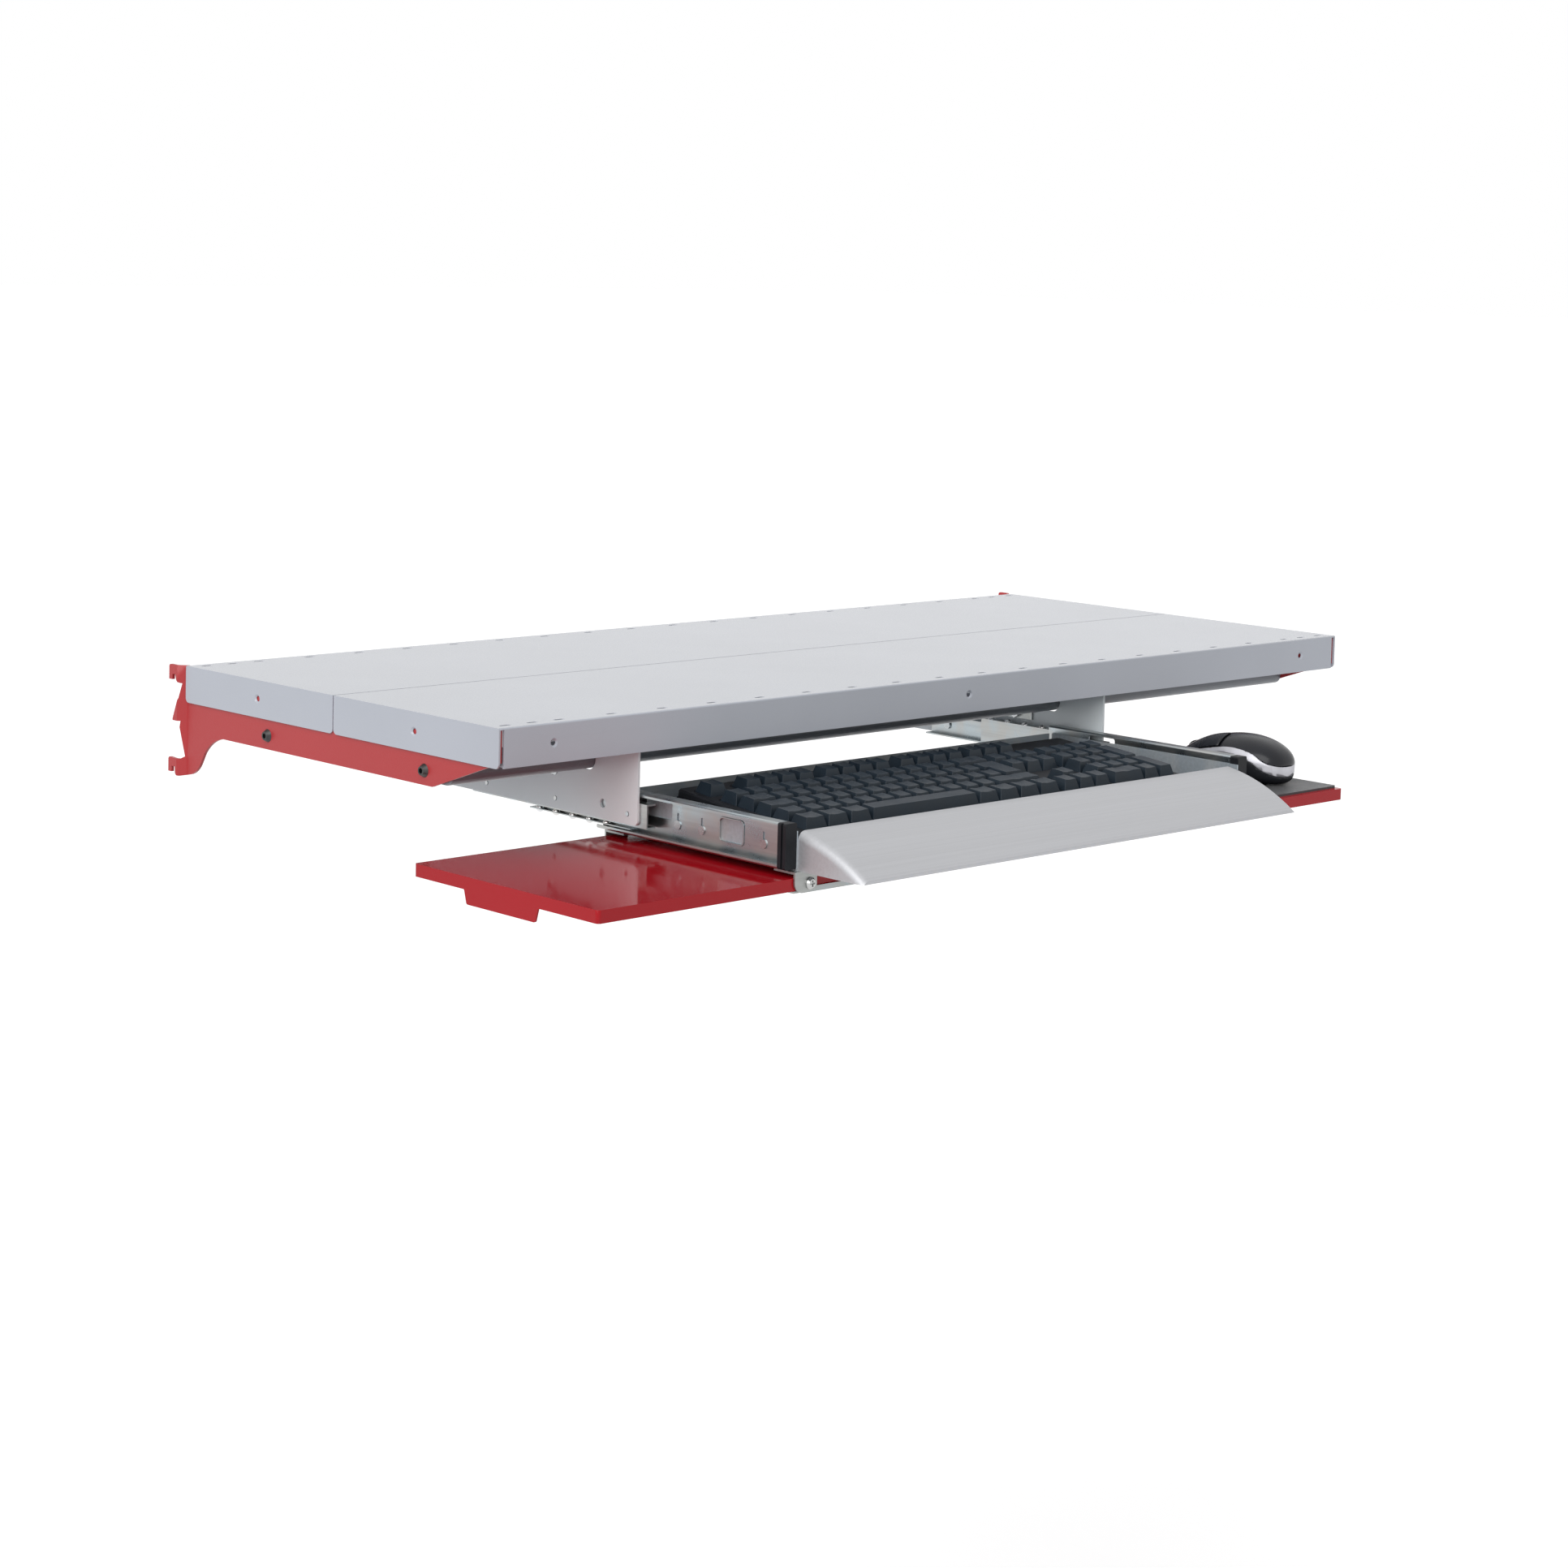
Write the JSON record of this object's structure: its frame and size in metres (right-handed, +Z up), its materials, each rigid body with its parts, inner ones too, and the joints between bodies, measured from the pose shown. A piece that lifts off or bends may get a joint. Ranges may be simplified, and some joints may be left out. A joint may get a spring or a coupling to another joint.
{
  "type": "sliding keyboard shelf",
  "caption": "Steel bench shelf on red hook-in brackets with a pull-out keyboard tray, palm rest and sideways sliding mouse plate below.",
  "frame": {"origin": "on the uprights' front face, midway between the two hook columns, level with the shelf's top", "axes": "+X along the shelf to the user's right, +Y back into the uprights, +Z up"},
  "size_m": [1.0383, 0.639, 0.123],
  "materials": {
    "shelf_grey": "satin powder coat",
    "bracket_red": "satin powder coat",
    "plate_red": "glossy powder coat",
    "hanger_grey": "satin powder coat",
    "beam_pale": "satin powder coat",
    "zinc": "bright zinc plating",
    "dark_screw": "black oxide",
    "ball_steel": "polished",
    "palm_aluminium": "brushed, clear anodised",
    "black_plastic": "moulded, slightly rough",
    "key_plastic": "moulded, fine texture",
    "gloss_black": "glossy",
    "silver_plastic": "silver lacquer",
    "mat_grey": "matt",
    "rubber": "matt"
  },
  "bodies": {
    "shelf": {"shelf_front_panel": "shelf_grey", "shelf_rear_panel": "shelf_grey", "left_bracket": "bracket_red", "right_bracket": "bracket_red", "bracket_screws": "dark_screw", "front_beam": "beam_pale", "rear_beam": "beam_pale", "left_hanger": "hanger_grey", "right_hanger": "hanger_grey", "beam_clamps": "zinc", "clamp_screws": "zinc", "clamp_nuts": "zinc", "left_fixed_rail": "zinc", "right_fixed_rail": "zinc", "fixed_rail_screws": "zinc"},
    "left_cage": {"left_ball_cage": "zinc", "left_rail_balls": "ball_steel"},
    "right_cage": {"right_ball_cage": "zinc", "right_rail_balls": "ball_steel"},
    "tray": {"left_moving_rail": "zinc", "right_moving_rail": "zinc", "tray_screws": "zinc", "tray_pan": "zinc", "left_rail_end_block": "black_plastic", "right_rail_end_block": "black_plastic", "palm_rest": "palm_aluminium", "front_plate_guide": "zinc", "rear_plate_guide": "zinc", "guide_screws": "zinc", "keyboard_top": "black_plastic", "keyboard_base": "black_plastic", "keyboard_feet": "rubber", "function_keys": "key_plastic", "number_keys": "key_plastic", "letter_keys": "key_plastic", "modifier_keys": "key_plastic", "cursor_keys": "key_plastic", "number_pad_keys": "key_plastic"},
    "mouse_board": {"mouse_plate": "plate_red", "mouse_mat": "mat_grey"},
    "mouse": {"mouse_base": "gloss_black", "mouse_band": "silver_plastic", "mouse_cover": "gloss_black", "mouse_feet": "rubber"},
    "left_button": {"mouse_left_button": "gloss_black"},
    "right_button": {"mouse_right_button": "gloss_black"},
    "wheel": {"mouse_wheel": "rubber"},
    "escape_key_cap": {"escape_key": "key_plastic"},
    "backspace_key_cap": {"backspace_key": "key_plastic"},
    "tab_key_cap": {"tab_key": "key_plastic"},
    "caps_lock_key_cap": {"caps_lock_key": "key_plastic"},
    "enter_key_cap": {"enter_key": "key_plastic"},
    "left_shift_key_cap": {"left_shift_key": "key_plastic"},
    "right_shift_key_cap": {"right_shift_key": "key_plastic"},
    "left_control_key_cap": {"left_control_key": "key_plastic"},
    "right_control_key_cap": {"right_control_key": "key_plastic"},
    "space_bar_cap": {"space_bar": "key_plastic"},
    "pad_zero_key_cap": {"pad_zero_key": "key_plastic"},
    "pad_enter_key_cap": {"pad_enter_key": "key_plastic"},
    "pad_plus_key_cap": {"pad_plus_key": "key_plastic"}
  },
  "joints": [
    {"name": "tray_slide", "type": "slide", "parent": "shelf", "child": "tray", "axis": [0, -1, 0], "range_m": [-0.136, 0.01]},
    {"name": "left_cage_slide", "type": "slide", "parent": "shelf", "child": "left_cage", "axis": [0, -1, 0], "range_m": [-0.068, 0.005]},
    {"name": "right_cage_slide", "type": "slide", "parent": "shelf", "child": "right_cage", "axis": [0, -1, 0], "range_m": [-0.068, 0.005]},
    {"name": "mouse_plate_slide", "type": "slide", "parent": "tray", "child": "mouse_board", "axis": [1, 0, 0], "range_m": [-0.055, 0.18]},
    {"name": "mouse_slide", "type": "slide", "parent": "mouse_board", "child": "mouse", "axis": [0, 1, 0], "range_m": [-0.015, 0.055]},
    {"name": "left_button_press", "type": "hinge", "parent": "mouse", "child": "left_button", "pos_m": [0.268, -0.4842, -0.0702], "axis": [-1, 0, 0], "range_deg": [0, 0.6], "stiffness_Nm_per_rad": 4, "springref_deg": -0.57},
    {"name": "right_button_press", "type": "hinge", "parent": "mouse", "child": "right_button", "pos_m": [0.268, -0.4842, -0.0702], "axis": [-1, 0, 0], "range_deg": [0, 0.6], "stiffness_Nm_per_rad": 4, "springref_deg": -0.57},
    {"name": "wheel_turn", "type": "hinge", "parent": "mouse", "child": "wheel", "pos_m": [0.268, -0.4437, -0.0852], "axis": [1, 0, 0], "continuous": true},
    {"name": "escape_key_press", "type": "slide", "parent": "tray", "child": "escape_key_cap", "axis": [0, 0.0958, -0.9954], "range_m": [0, 0.0035], "stiffness_N_per_m": 170, "springref_m": -0.002},
    {"name": "backspace_key_press", "type": "slide", "parent": "tray", "child": "backspace_key_cap", "axis": [0, 0.0958, -0.9954], "range_m": [0, 0.0035], "stiffness_N_per_m": 170, "springref_m": -0.002},
    {"name": "tab_key_press", "type": "slide", "parent": "tray", "child": "tab_key_cap", "axis": [0, 0.0958, -0.9954], "range_m": [0, 0.0035], "stiffness_N_per_m": 170, "springref_m": -0.002},
    {"name": "caps_lock_key_press", "type": "slide", "parent": "tray", "child": "caps_lock_key_cap", "axis": [0, 0.0958, -0.9954], "range_m": [0, 0.0035], "stiffness_N_per_m": 170, "springref_m": -0.002},
    {"name": "enter_key_press", "type": "slide", "parent": "tray", "child": "enter_key_cap", "axis": [0, 0.0958, -0.9954], "range_m": [0, 0.0035], "stiffness_N_per_m": 170, "springref_m": -0.002},
    {"name": "left_shift_key_press", "type": "slide", "parent": "tray", "child": "left_shift_key_cap", "axis": [0, 0.0958, -0.9954], "range_m": [0, 0.0035], "stiffness_N_per_m": 170, "springref_m": -0.002},
    {"name": "right_shift_key_press", "type": "slide", "parent": "tray", "child": "right_shift_key_cap", "axis": [0, 0.0958, -0.9954], "range_m": [0, 0.0035], "stiffness_N_per_m": 170, "springref_m": -0.002},
    {"name": "left_control_key_press", "type": "slide", "parent": "tray", "child": "left_control_key_cap", "axis": [0, 0.0958, -0.9954], "range_m": [0, 0.0035], "stiffness_N_per_m": 170, "springref_m": -0.002},
    {"name": "right_control_key_press", "type": "slide", "parent": "tray", "child": "right_control_key_cap", "axis": [0, 0.0958, -0.9954], "range_m": [0, 0.0035], "stiffness_N_per_m": 170, "springref_m": -0.002},
    {"name": "space_bar_press", "type": "slide", "parent": "tray", "child": "space_bar_cap", "axis": [0, 0.0958, -0.9954], "range_m": [0, 0.0035], "stiffness_N_per_m": 170, "springref_m": -0.002},
    {"name": "pad_zero_key_press", "type": "slide", "parent": "tray", "child": "pad_zero_key_cap", "axis": [0, 0.0958, -0.9954], "range_m": [0, 0.0035], "stiffness_N_per_m": 170, "springref_m": -0.002},
    {"name": "pad_enter_key_press", "type": "slide", "parent": "tray", "child": "pad_enter_key_cap", "axis": [0, 0.0958, -0.9954], "range_m": [0, 0.0035], "stiffness_N_per_m": 170, "springref_m": -0.002},
    {"name": "pad_plus_key_press", "type": "slide", "parent": "tray", "child": "pad_plus_key_cap", "axis": [0, 0.0958, -0.9954], "range_m": [0, 0.0035], "stiffness_N_per_m": 170, "springref_m": -0.002}
  ],
  "couplings": [
    {"joint": "left_cage_slide", "follows": "tray_slide", "ratio": 0.5},
    {"joint": "right_cage_slide", "follows": "tray_slide", "ratio": 0.5}
  ]
}
